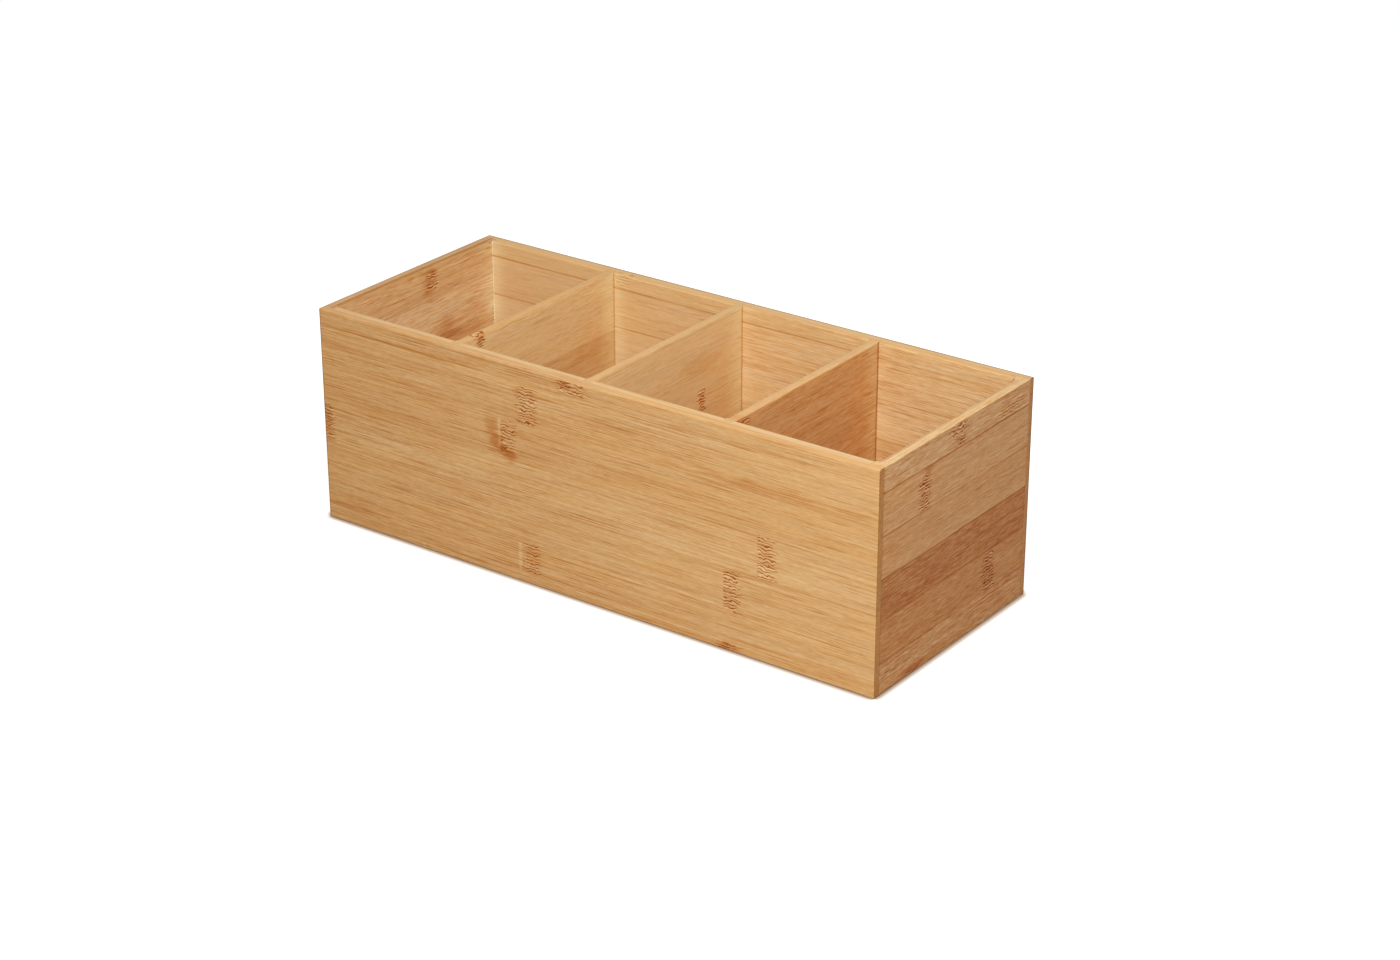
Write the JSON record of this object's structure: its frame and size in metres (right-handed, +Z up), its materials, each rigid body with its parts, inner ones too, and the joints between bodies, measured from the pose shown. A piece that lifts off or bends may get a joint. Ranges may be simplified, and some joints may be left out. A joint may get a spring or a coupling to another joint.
{
  "type": "organizer box",
  "caption": "Open-topped bamboo organizer box with equal compartments in a row, flush dividers and a captured bottom, standing flat on its walls.",
  "frame": {"origin": "on the surface that the box stands on, under the middle of the box", "axes": "+X along the length, towards the right as seen from the front; +Y from the front face to the back; +Z up"},
  "size_m": [0.35, 0.14, 0.12],
  "materials": {
    "front_panel_bamboo": "satin bamboo, horizontal grain",
    "back_panel_bamboo": "satin bamboo, horizontal grain",
    "left_end_panel_bamboo": "satin bamboo, horizontal grain",
    "right_end_panel_bamboo": "satin bamboo, horizontal grain",
    "left_divider_bamboo": "satin bamboo, horizontal grain",
    "middle_divider_bamboo": "satin bamboo, horizontal grain",
    "right_divider_bamboo": "satin bamboo, horizontal grain, redder than the others",
    "bottom_panel_bamboo": "satin bamboo, lengthwise grain"
  },
  "bodies": {
    "root": {"front_panel": "front_panel_bamboo", "back_panel": "back_panel_bamboo", "left_end_panel": "left_end_panel_bamboo", "right_end_panel": "right_end_panel_bamboo", "left_divider": "left_divider_bamboo", "middle_divider": "middle_divider_bamboo", "right_divider": "right_divider_bamboo", "bottom_panel": "bottom_panel_bamboo"}
  },
  "joints": []
}
